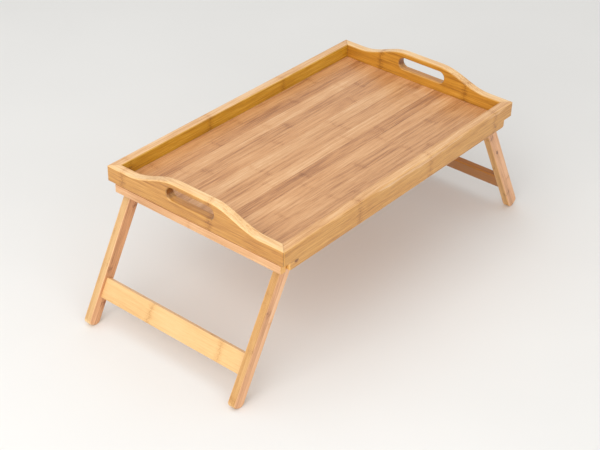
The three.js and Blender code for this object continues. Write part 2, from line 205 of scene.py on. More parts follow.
def saw(bm, point, normal):
    """Cuts off what lies past the plane, on the side that its normal points to."""
    geometry = list(bm.verts) + list(bm.edges) + list(bm.faces)
    result = bmesh.ops.bisect_plane(
        bm, geom=geometry, plane_co=point, plane_no=normal, clear_outer=True, dist=WELD
    )
    edges = [item for item in result["geom_cut"] if isinstance(item, bmesh.types.BMEdge)]
    bmesh.ops.holes_fill(bm, edges=edges, sides=0)
    bmesh.ops.recalc_face_normals(bm, faces=bm.faces)


def lathe(profile, segments=40):
    """A solid of revolution about Z. The profile's points are (radius, height), and a point on
    the axis makes a tip."""
    bm = bmesh.new()
    rows = []
    for radius, height in profile:
        if radius < WELD:
            rows.append([bm.verts.new((0, 0, height))])
            continue
        angles = [2 * math.pi * i / segments for i in range(segments)]
        rows.append([
            bm.verts.new((radius * math.cos(a), radius * math.sin(a), height)) for a in angles
        ])
    for low, high in zip(rows, rows[1:]):
        for i in range(segments):
            before, here = (i - 1) % segments, i
            corners = [low[before % len(low)], low[here % len(low)],
                       high[here % len(high)], high[before % len(high)]]
            bm.faces.new(list(dict.fromkeys(corners)))
    bmesh.ops.remove_doubles(bm, verts=bm.verts, dist=WELD)
    bmesh.ops.recalc_face_normals(bm, faces=bm.faces)
    return bm


def thread(radius, depth, start, end, pitch):
    """The ridges of a screw's thread, as profile points for lathe()."""
    points = []
    height = start
    while height + pitch <= end:
        points += [(radius - depth, height), (radius, height + pitch / 2)]
        height += pitch
    return points


def rod(radius, length, segments=24):
    """A cylinder about Y with its middle at the origin, for cutting holes."""
    ends = ((0, -length / 2), (radius, -length / 2), (radius, length / 2), (0, length / 2))
    bm = lathe(ends, segments)
    bmesh.ops.rotate(bm, verts=bm.verts, matrix=Matrix.Rotation(math.pi / 2, 3, "X"))
    return bm


def block(low, high):
    """A box between two corners."""
    bm = bmesh.new()
    bmesh.ops.create_cube(bm, size=1)
    low, high = Vector(low), Vector(high)
    for vert in bm.verts:
        vert.co = Vector((vert.co[k] + 0.5) * (high[k] - low[k]) + low[k] for k in range(3))
    return bm


def to_object(name, bm):
    mesh = bpy.data.meshes.new(name)
    bm.to_mesh(mesh)
    bm.free()
    made = bpy.data.objects.new(name, mesh)
    bpy.context.scene.collection.objects.link(made)
    return made


def carve(piece, cutters):
    """Cuts each cutter, a bmesh in the piece's own coordinates, out of the piece."""
    tools = [to_object("cutter", bm) for bm in cutters]
    for tool in tools:
        cut = piece.modifiers.new("cut", "BOOLEAN")
        cut.operation = "DIFFERENCE"
        cut.solver = "EXACT"
        cut.object = tool
    bpy.context.view_layer.update()
    evaluated = piece.evaluated_get(bpy.context.evaluated_depsgraph_get())
    carved = bpy.data.meshes.new_from_object(evaluated)
    piece.modifiers.clear()
    piece.data = carved
    for tool in tools:
        bpy.data.objects.remove(tool)


def finish_piece(piece, place, material, body, slot, *nodes):
    """Places a finished mesh, smooths its rounded edges and puts it in the frame."""
    piece.data.transform(place)
    piece.data.materials.clear()
    piece.data.materials.append(material)
    piece.data.shade_smooth()
    piece.data.set_sharp_from_angle(angle=SHARP_ANGLE)
    weighted = piece.modifiers.new("even_shading", "WEIGHTED_NORMAL")
    weighted.keep_sharp = True
    weighted.weight = 100
    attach(piece, body)
    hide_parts(*nodes)
    return piece


# ------------------------------------------------------------------ materials


class Graph:
    """Short names for the shader nodes of one material."""

    def __init__(self, name):
        self.material = bpy.data.materials.new(name)
        self.material.use_nodes = True
        self.tree = self.material.node_tree
        self.shader = self.tree.nodes["Principled BSDF"]

    def feed(self, socket, value):
        if isinstance(value, bpy.types.NodeSocket):
            self.tree.links.new(value, socket)
        elif value is not None:
            socket.default_value = value

    def math(self, operation, a, b=None, c=None, clamp=False):
        node = self.tree.nodes.new("ShaderNodeMath")
        node.operation = operation
        node.use_clamp = clamp
        for socket, value in zip(node.inputs, (a, b, c)):
            self.feed(socket, value)
        return node.outputs[0]

    def vector(self, operation, a, b=None):
        node = self.tree.nodes.new("ShaderNodeVectorMath")
        node.operation = operation
        self.feed(node.inputs[0], a)
        self.feed(node.inputs[1], b)
        return node.outputs[0]

    def split(self, vector):
        node = self.tree.nodes.new("ShaderNodeSeparateXYZ")
        self.feed(node.inputs[0], vector)
        return node.outputs

    def join(self, x, y, z):
        node = self.tree.nodes.new("ShaderNodeCombineXYZ")
        for socket, value in zip(node.inputs, (x, y, z)):
            self.feed(socket, value)
        return node.outputs[0]

    def noise(self, vector, scale=1.0, detail=3.0, roughness=0.5):
        node = self.tree.nodes.new("ShaderNodeTexNoise")
        self.feed(node.inputs["Vector"], vector)
        node.inputs["Scale"].default_value = scale
        node.inputs["Detail"].default_value = detail
        node.inputs["Roughness"].default_value = roughness
        return node.outputs["Fac"]

    def random(self, vector):
        node = self.tree.nodes.new("ShaderNodeTexWhiteNoise")
        self.feed(node.inputs["Vector"], vector)
        return node.outputs["Color"]

    def swing(self, value, amount, base=None):
        """How far a value is above one half, times the amount, on top of the base."""
        above = self.math("SUBTRACT", value, 0.5)
        if base is None:
            return self.math("MULTIPLY", above, amount)
        return self.math("MULTIPLY_ADD", above, amount, base)

    def grain(self, vector, along, across, detail, roughness=0.5):
        """Noise drawn out along X, with its scales along and across in shares of a millimetre."""
        drawn = self.vector("MULTIPLY", vector, (along, across, across))
        return self.noise(drawn, detail=detail, roughness=roughness)

    def stain(self, amount, colour, tint):
        """The colour multiplied by the tint, as far as the amount says."""
        return self.mix(amount, colour, (*tint, 1), "MULTIPLY")

    def ramp(self, value, stops, interpolation="LINEAR"):
        node = self.tree.nodes.new("ShaderNodeValToRGB")
        node.color_ramp.interpolation = interpolation
        self.feed(node.inputs["Fac"], value)
        elements = node.color_ramp.elements
        while len(elements) < len(stops):
            elements.new(1.0)
        for element, (position, colour) in zip(elements, stops):
            element.position = position
            element.color = (*colour, 1)
        return node.outputs["Color"]

    def fade(self, value, start, end, low=0.0, high=1.0):
        """low up to start, high from end, and a smooth step between."""
        node = self.tree.nodes.new("ShaderNodeMapRange")
        node.interpolation_type = "SMOOTHSTEP"
        for socket, number in zip(node.inputs, (value, start, end, low, high)):
            self.feed(socket, number)
        return node.outputs["Result"]

    def mix(self, amount, a, b, blend="MIX"):
        node = self.tree.nodes.new("ShaderNodeMix")
        node.data_type = "RGBA"
        node.blend_type = blend
        self.feed(node.inputs["Factor"], amount)
        self.feed(node.inputs[6], a)
        self.feed(node.inputs[7], b)
        return node.outputs[2]

    def bump(self, height, strength, distance):
        node = self.tree.nodes.new("ShaderNodeBump")
        node.inputs["Strength"].default_value = strength
        node.inputs["Distance"].default_value = distance
        self.feed(node.inputs["Height"], height)
        self.tree.links.new(node.outputs["Normal"], self.shader.inputs["Normal"])

    def coordinates(self, kind, place=Matrix.Identity(4)):
        """Coordinates in the axes that place moved the piece from."""
        source = self.tree.nodes.new("ShaderNodeTexCoord").outputs[kind]
        node = self.tree.nodes.new("ShaderNodeMapping")
        node.vector_type = "TEXTURE"
        self.feed(node.inputs["Vector"], source)
        if kind != "Normal":
            node.inputs["Location"].default_value = place.to_translation()
        node.inputs["Rotation"].default_value = place.to_euler()
        return node.outputs["Vector"]


def srgb(red, green, blue):
    """A colour given in 0-255 display values, as the linear values that a shader takes."""
    made = []
    for value in (red, green, blue):
        share = value / 255
        made.append(share / 12.92 if share <= 0.04045 else ((share + 0.055) / 1.055) ** 2.4)
    return tuple(made)


def stops_of(palette):
    return [(i / (len(palette) - 1), srgb(*colour)) for i, colour in enumerate(palette)]


BAMBOO_ROUGHNESS = 0.38
VARNISH = 0.25
VARNISH_ROUGHNESS = 0.3
WARMER = (1.0, 0.93, 0.86)
DASH_TINT = srgb(150, 95, 50)
SEAM_TINT = srgb(120, 76, 40)
KNOT = srgb(112, 56, 10)

# Heights in millimetres. The boards' tops and the band along a rail's upper edge are paler: partly
# the strips' narrow faces, partly painted top light and a painted highlight on the rounded edge.
TOPS_ABOVE = 206                # faces that look up from above this are the boards' tops
TOPS_BLUR = 2
RIM_BAND = 207.3                # middle of the pale band's lower edge
RIM_WAVE = 24
RIM_BLUR = 1.5

# Tone and node place of each floor lamella, from the front rail to the back one. The tone runs
# from 0, dark, to 1, pale. The node place is a share of the internode.
FLOOR_LAMELLAE = (
    (0.45, 0.20), (0.48, 0.62), (0.50, 0.44), (0.42, 0.96), (0.60, 0.43), (0.32, 0.55),
    (0.66, 0.24), (0.46, 0.37), (0.66, 0.35), (0.50, 0.80), (0.44, 0.07), (0.64, 0.94),
    (0.36, 0.44), (0.50, 0.84), (0.48, 0.30),
)


def bamboo(name, place, palette, seed, lamella, start, internode=165, node=None, contrast=0.4,
           tones=None, faces=(), nodes=1.0, seams=0.35, streaks=1.0, marks=()):
    """Laminated bamboo with its grain along the piece's own X, in millimetres.

    lamella: its size in Y and Z; start: the place of one of its glue lines in each.
    palette: five colours from dark to pale. faces gives other ones to the faces that look in one
        of the piece's own directions, such as "+Y", or "*X" for both ends. "+Z" means the boards'
        tops, not the slots' lower walls, and "rim" a wavy band along a rail's upper edge.
    internode: the distance between the culm's nodes; node: where one of them is, as a share of it.
    tones: the tone and node place of every lamella, where they aren't random.
    contrast, nodes, seams, streaks: how strong the tones, nodes, glue lines and grain are.
    marks: small dark knots, each with its place in X and Z, its half length and half height."""
    g = Graph(name)
    point = g.vector("MULTIPLY", g.coordinates("Object", place), (1000, 1000, 1000))
    x, y, z = g.split(point)

    # Which lamella this is, and three random numbers for it.
    across = []
    edges = []
    for coordinate, size, origin in zip((y, z), lamella, start):
        count = g.math("DIVIDE", g.math("SUBTRACT", coordinate, origin), size)
        across.append(g.math("FLOOR", count))
        offset = g.math("ABSOLUTE", g.math("SUBTRACT", g.math("FRACT", count), 0.5))
        edges.append(g.math("MULTIPLY", g.math("SUBTRACT", 0.5, offset), size))
    cell = g.join(across[0], across[1], seed)
    own = g.random(cell)
    own_x, own_y, own_z = g.split(own)
    seam = g.fade(g.math("MINIMUM", *edges), 0.08, 0.32, 1, 0)

    # Grain: broad streaks, fine fibres and the short dark dashes of the vascular bundles.
    shifted = g.vector("ADD", point, g.vector("MULTIPLY", own, (900, 70, 70)))
    wander = g.grain(shifted, 0.006, 0.05, detail=2)
    lifted = g.vector("ADD", shifted, g.join(0, g.math("MULTIPLY", wander, 5), 0))
    broad = g.grain(lifted, 0.007, 0.27, detail=5, roughness=0.72)
    fibre = g.grain(lifted, 0.035, 1.9, detail=5, roughness=0.7)
    dashes = g.fade(g.grain(lifted, 0.16, 2.6, detail=2), 0.6, 0.74)
    thin = g.grain(lifted, 0.022, 0.75, detail=4, roughness=0.7)
    cloud = g.grain(shifted, 0.011, 0.03, detail=3)

    # The culm's nodes: a thin crooked line in a soft, speckled band across each lamella.
    if tones:
        # The floor panel names the tone and node place of each lamella.
        share = g.math("DIVIDE", g.math("ADD", across[0], len(tones) / 2 + 0.5), len(tones))
        stops = [(i / len(tones), (*pair, 0)) for i, pair in enumerate(tones)]
        named = g.split(g.ramp(share, stops, "CONSTANT"))
        base_tone, node_place = named[0], named[1]
    else:
        base_tone = g.swing(own_z, contrast, 0.5)
        node_place = own_y if node is None else node
    crook = g.grain(point, 0.05, 0.16, detail=3, roughness=0.6)
    along = g.math("ADD", x, g.swing(crook, 16))
    along = g.math("SUBTRACT", along, g.math("MULTIPLY", node_place, internode))
    distance = g.math("ABSOLUTE", g.math("WRAP", along, internode / 2, -internode / 2))
    line = g.fade(distance, 0.4, 1.8, 1, 0)
    halo = g.fade(distance, 1.0, 8.5, 1, 0)
    speckle = g.grain(point, 0.5, 1.1, detail=3, roughness=0.7)
    mottle = g.math("MULTIPLY", halo, g.fade(speckle, 0.38, 0.62))

    tone = base_tone
    for layer, amount in ((broad, streaks), (thin, 1.2 * streaks), (fibre, 0.55), (cloud, 0.5)):
        tone = g.math("ADD", tone, g.swing(layer, amount))
    tone = g.math("SUBTRACT", tone, g.math("MULTIPLY", mottle, 0.28 * nodes))
    tone = g.math("SUBTRACT", tone, g.math("MULTIPLY", line, 0.1 * nodes), clamp=True)

    normal = g.coordinates("Normal", place)
    looks = dict(zip("XYZ", g.split(normal)))
    facing = g.split(g.vector("ABSOLUTE", normal))
    colour = g.ramp(tone, stops_of(palette))
    for direction, other in faces:
        if direction == "rim":
            amount = g.fade(g.swing(cloud, RIM_WAVE, z), RIM_BAND, RIM_BAND + RIM_BLUR)
        elif direction[0] == "*":
            amount = g.fade(g.math("ABSOLUTE", looks[direction[1]]), 0.3, 0.6)
        else:
            amount = g.fade(looks[direction[1]], 0.3, 0.6)
        if direction == "+Z":
            amount = g.math("MULTIPLY", amount, g.fade(z, TOPS_ABOVE, TOPS_ABOVE + TOPS_BLUR))
        colour = g.mix(amount, colour, g.ramp(tone, stops_of(other)))
    colour = g.stain(g.math("MULTIPLY", own_x, 0.5), colour, WARMER)
    colour = g.stain(g.math("MULTIPLY", dashes, 0.2), colour, DASH_TINT)
    colour = g.stain(g.math("MULTIPLY", seam, seams), colour, SEAM_TINT)

    for mark_x, mark_z, half_width, half_height in marks:
        across_mark = g.math("DIVIDE", g.math("SUBTRACT", x, mark_x), half_width)
        up_mark = g.math("DIVIDE", g.math("SUBTRACT", z, mark_z), half_height)
        squared = g.math("MULTIPLY_ADD", up_mark, up_mark,
                         g.math("MULTIPLY", across_mark, across_mark))
        reach = g.math("ADD", g.math("SQRT", squared), g.swing(speckle, 1.6))
        spot = g.fade(reach, 0.45, 1.1, 0.85, 0)
        colour = g.mix(spot, colour, (*KNOT, 1))

    # Rounded edges are paler and a little duller than the faces: partly sanding wear, partly a
    # painted highlight where the rounding catches the light.
    flatness = g.math("MAXIMUM", g.math("MAXIMUM", facing[0], facing[1]), facing[2])
    edge = g.fade(flatness, 0.8, 0.96, 1, 0)
    overlay = g.math("MULTIPLY", edge, g.fade(broad, 0.3, 0.7, 0.15, 0.5))
    colour = g.mix(overlay, colour, (*srgb(*palette[-1]), 1))
    g.tree.links.new(colour, g.shader.inputs["Base Color"])

    rough = g.swing(fibre, 0.22, BAMBOO_ROUGHNESS)
    rough = g.math("ADD", rough, g.math("MULTIPLY", edge, 0.08))
    rough = g.math("ADD", rough, g.math("MULTIPLY", seam, 0.15), clamp=True)
    g.tree.links.new(rough, g.shader.inputs["Roughness"])
    g.shader.inputs["Coat Weight"].default_value = VARNISH
    g.shader.inputs["Coat Roughness"].default_value = VARNISH_ROUGHNESS

    height = g.math("MULTIPLY", fibre, 0.5)
    height = g.math("SUBTRACT", height, g.math("MULTIPLY", dashes, 0.35))
    height = g.math("SUBTRACT", height, g.math("MULTIPLY", seam, 0.7))
    height = g.math("ADD", height, g.math("MULTIPLY", halo, 0.3))
    g.bump(height, 0.35, 0.12 * MM)
    return g.material


def metal(name, base, overlay, roughness):
    """Zinc-plated steel with fine turning marks and dull specks."""
    g = Graph(name)
    place = g.coordinates("Object")
    turned = g.noise(g.vector("MULTIPLY", place, (400, 400, 6000)), detail=4, roughness=0.6)
    specks = g.fade(g.noise(place, scale=900, detail=3), 0.55, 0.7)
    g.tree.links.new(g.mix(specks, (*base, 1), (*overlay, 1)), g.shader.inputs["Base Color"])
    g.shader.inputs["Metallic"].default_value = 1.0
    rough = g.swing(turned, 0.3, roughness)
    rough = g.math("ADD", rough, g.math("MULTIPLY", specks, 0.2), clamp=True)
    g.tree.links.new(rough, g.shader.inputs["Roughness"])
    g.bump(turned, 0.2, 0.03 * MM)
    return g.material


def nylon(name):
    """Natural nylon, slightly mottled, with a faint moulded grain."""
    g = Graph(name)
    place = g.coordinates("Object")
    mottle = g.noise(place, scale=500, detail=4, roughness=0.6)
    grain = g.noise(place, scale=4000, detail=2)
    stops = [(0.3, srgb(212, 206, 190)), (0.7, srgb(236, 232, 220))]
    g.tree.links.new(g.ramp(mottle, stops), g.shader.inputs["Base Color"])
    rough = g.math("MULTIPLY_ADD", grain, 0.2, 0.35)
    g.tree.links.new(rough, g.shader.inputs["Roughness"])
    g.shader.inputs["Subsurface Weight"].default_value = 0.1
    g.shader.inputs["Subsurface Radius"].default_value = (MM, MM, MM)
    g.bump(grain, 0.2, 0.04 * MM)
    return g.material


def backdrop(name):
    """Matt pale paper with a barely visible tooth."""
    g = Graph(name)
    place = g.coordinates("Object")
    cloud = g.noise(place, scale=1.5, detail=3)
    tooth = g.noise(place, scale=900, detail=2)
    stops = [(0.3, srgb(232, 231, 228)), (0.7, srgb(238, 237, 234))]
    g.tree.links.new(g.ramp(cloud, stops), g.shader.inputs["Base Color"])
    g.shader.inputs["Roughness"].default_value = 0.9
    g.bump(tooth, 0.1, 0.2 * MM)
    return g.material


HONEY = ((144, 88, 32), (182, 122, 52), (206, 147, 69), (219, 165, 88), (232, 186, 115))
# GOLD and GILT, for the inner faces of the rails and end boards, are HONEY made darker and more
# golden: painted shade and a painted reflection of the floor.
GOLD = ((124, 76, 8), (160, 106, 14), (188, 133, 22), (204, 151, 34), (222, 175, 64))
GILT = ((140, 86, 20), (178, 118, 32), (208, 146, 46), (222, 164, 62), (236, 188, 92))
# CREAM and RAIL_TOP, for the tops and a rail's upper edge band, are paler: partly the strips'
# narrow faces, partly painted top light and a painted highlight on the rounded edge.
CREAM = ((196, 138, 80), (230, 178, 118), (246, 205, 148), (252, 219, 168), (254, 230, 186))
FLOOR = ((142, 90, 50), (184, 128, 80), (210, 155, 103), (223, 172, 121), (236, 194, 147))
PEACH = ((178, 118, 72), (216, 162, 110), (234, 186, 136), (242, 200, 152), (248, 214, 176))
PALE = ((182, 124, 66), (218, 168, 106), (236, 192, 130), (242, 202, 144), (248, 216, 166))
AMBER = ((160, 103, 48), (200, 144, 75), (225, 173, 104), (236, 190, 126), (245, 206, 149))
# RAIL_TOP: partly paler strips, partly painted top light and a painted edge highlight.
RAIL_TOP = ((164, 106, 56), (202, 148, 92), (222, 170, 114), (233, 187, 134), (243, 204, 160))
ROSY = ((152, 94, 58), (200, 142, 96), (230, 172, 122), (240, 188, 142), (246, 204, 164))
# SHADED, for the right crossbar, is a darker copy of the crossbar wood: painted shade.
SHADED = ((122, 68, 16), (152, 92, 24), (176, 112, 32), (192, 128, 44), (210, 152, 66))
GRAIN_END = ((160, 104, 44), (204, 144, 66), (226, 168, 84), (236, 182, 102), (244, 200, 126))
# SLOT_END, for the end boards' slot end walls, is much darker than GRAIN_END: partly end grain,
# partly painted shade deep in the slot.
SLOT_END = ((96, 52, 14), (124, 72, 20), (144, 88, 28), (162, 104, 40), (186, 130, 64))

STEEL = metal("screw_steel", srgb(186, 190, 196), srgb(150, 150, 148), 0.3)
NYLON = nylon("washer_nylon")
JOINERY = bamboo("joinery_bamboo", Matrix.Identity(4), PALE, seed=61, lamella=(60, 60),
                 start=(-30, -30))


# ------------------------------------------------------------------ frame boards


def standing(turns, distance):
    """Where a board stands whose outer face looks to its own -Y, turned by quarter turns."""
    return Matrix.Rotation(turns * math.pi / 2, 4, "Z") @ Matrix.Translation((0, -distance, 0))


def mitre(bm, half):
    for side in (-1, 1):
        normal = Vector((side, 1, 0)).normalized()
        corner = Vector((side * half, -BOARD / 2, 0)) - normal * GAP
        saw(bm, corner, normal)


def side_rail(name):
    low, high, notch = RAIL_LOW.z, RIM, END_LOW.z
    filled = -HALF_LENGTH + BATTEN_NOTCH
    free = HALF_LENGTH - NOTCH_LENGTH
    outline = [(-HALF_LENGTH, notch), (filled, notch)]
    outline += arc((filled + NOTCH_ROUND, low + NOTCH_ROUND), NOTCH_ROUND, 180, 270)
    outline += arc((free - NOTCH_ROUND, low + NOTCH_ROUND), NOTCH_ROUND, 270, 360)
    outline += [(free, notch), (HALF_LENGTH, notch), (HALF_LENGTH, high), (-HALF_LENGTH, high)]
    bm = rounded_slab([outline], BOARD, OUTER_ROUND, INNER_ROUND)
    mitre(bm, HALF_LENGTH)
    piece = to_object(name, bm)
    housing = -BOARD / 2 + HALF_WIDTH - PANEL_HIGH.y - 2 * GAP
    cutters = [block(
        (-PANEL_HIGH.x - 2 * GAP, housing, PANEL_LOW.z - 2 * GAP),
        (PANEL_HIGH.x + 2 * GAP, BOARD, TONGUE_TOP + 2 * GAP),
    )]
    for end in (-1, 1):
        depth = -SCREW_LOW.y - INNER_WIDTH + 2 * GAP
        hole = rod(THREAD_RADIUS + 2 * GAP, 2 * depth)
        bmesh.ops.translate(hole, verts=hole.verts, vec=(end * PIVOT.x, BOARD / 2, PIVOT.z))
        cutters.append(hole)
    carve(piece, cutters)
    return piece


def end_board(name, slot_shift):
    low, high, crest = END_LOW.z, RIM, END_HIGH.z
    ease = (CREST_FOOT - CREST_HALF) * CREST_EASE
    outline = [(-HALF_WIDTH, low), (HALF_WIDTH, low), (HALF_WIDTH, high), (CREST_FOOT, high)]
    outline += bezier(outline[-1], (CREST_FOOT - ease, high), (CREST_HALF + ease, crest),
                      (CREST_HALF, crest))
    outline.append((-CREST_HALF, crest))
    outline += bezier(outline[-1], (-CREST_HALF - ease, crest), (-CREST_FOOT + ease, high),
                      (-CREST_FOOT, high))
    outline.append((-HALF_WIDTH, high))
    reach = SLOT_HALF - SLOT_RADIUS
    slot = arc((slot_shift - reach, SLOT_CENTRE), SLOT_RADIUS, 270, 90, 20)
    slot += arc((slot_shift + reach, SLOT_CENTRE), SLOT_RADIUS, 90, -90, 20)
    bm = rounded_slab([outline, slot], BOARD, OUTER_ROUND, INNER_ROUND)
    mitre(bm, HALF_WIDTH)
    piece = to_object(name, bm)
    rebate = -BOARD / 2 + HALF_LENGTH - PANEL_HIGH.x - 2 * GAP
    carve(piece, [block(
        (-PANEL_HIGH.y - 2 * GAP, rebate, low - BOARD),
        (PANEL_HIGH.y + 2 * GAP, BOARD, TONGUE_TOP + 2 * GAP),
    )])
    return piece


def floor_panel():
    """The panel: a fine V-shaped glue line between its lamellae on both faces, and a thinner
    tongue all round that sits in the boards' grooves."""
    low, high = PANEL_LOW, PANEL_HIGH
    lines = []
    line = STRIP_START - STRIP * math.floor((STRIP_START - low.y) / STRIP)
    while line < high.y - SEAM_WIDTH:
        lines.append(line)
        line += STRIP
    under = [(low.y, low.z)]
    for y in lines:
        under += [(y - SEAM_WIDTH / 2, low.z), (y, low.z + SEAM_DEPTH), (y + SEAM_WIDTH / 2, low.z)]
    above = [(y, low.z + high.z - z) for y, z in under]
    outline = under + [(high.y, low.z), (high.y, high.z)] + above[::-1]
    bm = bmesh.new()
    ends = [[bm.verts.new((x, y, z)) for y, z in outline] for x in (low.x, high.x)]
    for i in range(len(outline)):
        bm.faces.new((ends[0][i - 1], ends[0][i], ends[1][i], ends[1][i - 1]))
    for end in ends:
        for triangle in tessellate_polygon([[v.co for v in end]]):
            bm.faces.new([end[i] for i in triangle])
    bmesh.ops.recalc_face_normals(bm, faces=bm.faces)
    piece = to_object("floor_panel_boards", bm)
    inner = high - Vector((TONGUE_WIDTH, TONGUE_WIDTH, 0))
    cutters = []
    for end in (-1, 1):
        x = sorted((end * inner.x, end * (high.x + BOARD)))
        y = sorted((end * inner.y, end * (high.y + BOARD)))
        cutters.append(block((x[0], -HALF_WIDTH, TONGUE_TOP), (x[1], HALF_WIDTH, RIM)))
        cutters.append(block((-HALF_LENGTH, y[0], TONGUE_TOP), (HALF_LENGTH, y[1], RIM)))
    carve(piece, cutters)
    return piece


def stop_batten(name):
    length = BATTEN_HIGH.y - BATTEN_LOW.y
    middle = -(BATTEN_HIGH.y + BATTEN_LOW.y) / 2
    low, high = BATTEN_LOW.z, BATTEN_HIGH.z
    left, right = middle - length / 2, middle + length / 2
    outline = [(left, low), (right, low), (right, high), (left, high)]
    width = BATTEN_HIGH.x - BATTEN_LOW.x
    piece = to_object(name, rounded_slab([outline], width, BATTEN_ROUND, BATTEN_ROUND))
    head = (BATTEN_SCREW_HIGH.x - BATTEN_SCREW_LOW.x) / 2 + 2 * GAP
    inset = (BATTEN_SCREW_HIGH.x + BATTEN_SCREW_LOW.x) / 2 - BATTEN_LOW.x - width / 2
    holes = []
    for step in (-1, 0, 1):
        hole = lathe([(0, -BOARD), (head, -BOARD), (head, 2 * GAP), (head / 2, CONE_HEIGHT),
                      (head / 2, BOARD), (0, BOARD)])
        place = (middle + step * BATTEN_SCREW_SPACING, inset, BATTEN_SCREW_LOW.z)
        bmesh.ops.translate(hole, verts=hole.verts, vec=place)
        holes.append(hole)
    carve(piece, holes)
    return piece


RAIL_NODES = (0.334, 0.438)     # front and back rail
END_NODES = (0.185, 0.485)      # left and right board
WHOLE_BOARD = (60, 120)         # a lamella larger than a board, so that its faces have no seams
WHOLE_START = (-30, 140)
# +Y is each board's inner face: its darker, more golden palette is painted shade and a painted
# reflection of the floor.
# +Z and rim are the tops and the band along a rail's upper edge: paler partly from the strips'
# narrow faces, partly as painted top light and a painted highlight on the rounded edge.
# In END_FACES, *X is mostly the slots' end walls: their dark palette is partly end grain and partly
# painted shade deep in the slot.
RAIL_FACES = (("+Z", RAIL_TOP), ("rim", RAIL_TOP), ("+Y", GOLD), ("*X", GRAIN_END))
END_FACES = (("+Z", CREAM), ("+Y", GILT), ("*X", SLOT_END))
RAIL_MARKS = ((-226, 186, 4.4, 2.8), (209.5, 186, 1.4, 2.0))

# The right half is the left one turned by half a turn, so the back rail belongs to it.
for index, (end, turns) in enumerate((("left", 0), ("right", 2))):
    side = "front" if end == "left" else "back"
    place = standing(turns, HALF_WIDTH - BOARD / 2)
    look = bamboo(f"rail_bamboo_{side}", place, HONEY, seed=3 + index, lamella=WHOLE_BOARD,
                  start=WHOLE_START, internode=154, node=RAIL_NODES[index], streaks=1.35,
                  faces=RAIL_FACES, marks=() if index else RAIL_MARKS)
    finish_piece(side_rail(f"rail_{side}_board"), place, look, "tray", "rail_bamboo",
                 f"rail_{side}")
    place = standing(turns - 1, HALF_LENGTH - BOARD / 2)
    look = bamboo(f"end_bamboo_{end}", place, HONEY, seed=11 + index, lamella=WHOLE_BOARD,
                  start=WHOLE_START, internode=150, node=END_NODES[index], faces=END_FACES)
    board = end_board(f"end_{end}_board", 0 if index else -LEFT_SLOT_SHIFT)
    finish_piece(board, place, look, "tray", "end_bamboo", f"end_board_{end}")
    place = standing(turns - 1, HALF_LENGTH - (BATTEN_HIGH.x - BATTEN_LOW.x) / 2)
    look = bamboo(f"batten_bamboo_{end}", place, PEACH, seed=21 + index, lamella=(9, 30),
                  start=(-4, 170), internode=190, contrast=0.3, streaks=0.6, nodes=0.5,
                  faces=(("*X", GRAIN_END),))
    finish_piece(stop_batten(f"batten_{end}_bar"), place, look, "tray", "batten_bamboo",
                 f"stop_batten_{end}")

floor_look = bamboo("floor_bamboo", Matrix.Identity(4), FLOOR, seed=31,
                    lamella=(STRIP / MM, 400), start=(STRIP_START / MM, 0), internode=163,
                    tones=FLOOR_LAMELLAE, nodes=0.6, streaks=1.15)
finish_piece(floor_panel(), Matrix.Identity(4), floor_look, "tray", "floor_bamboo", "floor_panel")

# ------------------------------------------------------------------ leg frames


def leg(name):
    """A leg lying along its own X, from the pivot at the origin down to the foot. Its own Z looks
    inwards, to the tray's middle. Its top is cut level with the tray, and its foot is rounded."""
    inner, outer = PIVOT_INSET, PIVOT_INSET - LEG_WIDTH
    centre = (PIVOT.z - FOOT_ROUND + (FOOT_ROUND - inner) * math.sin(SPLAY)) / math.cos(SPLAY)
    reach = centre + FOOT_ROUND
    slope = math.tan(SPLAY)
    tangent = Vector((-math.cos(SPLAY), -math.sin(SPLAY))) * inner
    shoulder = tangent.x - (outer - tangent.y) * slope
    outline = arc((0, 0), inner, 90, 180 + math.degrees(SPLAY), 16)
    # The shoulder that rests against the stop batten, eased by two short facets.
    outline += [
        (shoulder - SHOULDER_ROUND * slope, outer + SHOULDER_ROUND),
        (shoulder + SHOULDER_ROUND * 0.12, outer + SHOULDER_ROUND * 0.3),
        (shoulder + SHOULDER_ROUND * 0.9, outer),
    ]
    outline += arc((reach - HEEL_ROUND, outer + HEEL_ROUND), HEEL_ROUND, -90, 0)
    outline += arc((centre, inner - FOOT_ROUND), FOOT_ROUND, 0, 90, 12)
    thickness = LEG_HIGH.y - LEG_LOW.y
    bm = rounded_slab([outline], thickness, LEG_ROUND, LEG_ROUND)
    piece = to_object(name, bm)
    carve(piece, [rod(SHOULDER_RADIUS + 2 * GAP, 2 * thickness)])
    return piece


def crossbar(name):
    """A crossbar lying along its own X, with sawn ends."""
    half = (BAR_HIGH.y - BAR_LOW.y) / 2
    sawn = half + 4 * BAR_ROUND  # the length that the saw takes the ends off
    tall = BAR_HEIGHT / 2
    outline = [(-sawn, -tall), (sawn, -tall), (sawn, tall), (-sawn, tall)]
    bm = rounded_slab([outline], BAR_THICKNESS, BAR_ROUND, BAR_ROUND)
    for side in (-1, 1):
        saw(bm, (side * half, 0, 0), (side, 0, 0))
    return to_object(name, bm)


LEG_MARKS = ((70, -2.6, 5.0, 2.4),)

# A leg frame's own axes: X down the leg, Y across the tray and Z inwards.
HANGING = Matrix(((0, 0, 1), (0, 1, 0), (-1, 0, 0))).to_4x4()


def frame_place(end):
    turn = Matrix.Rotation(0 if end == "left" else math.pi, 4, "Z")
    return turn @ Matrix.Translation(PIVOT) @ Matrix.Rotation(SPLAY, 4, "Y") @ HANGING


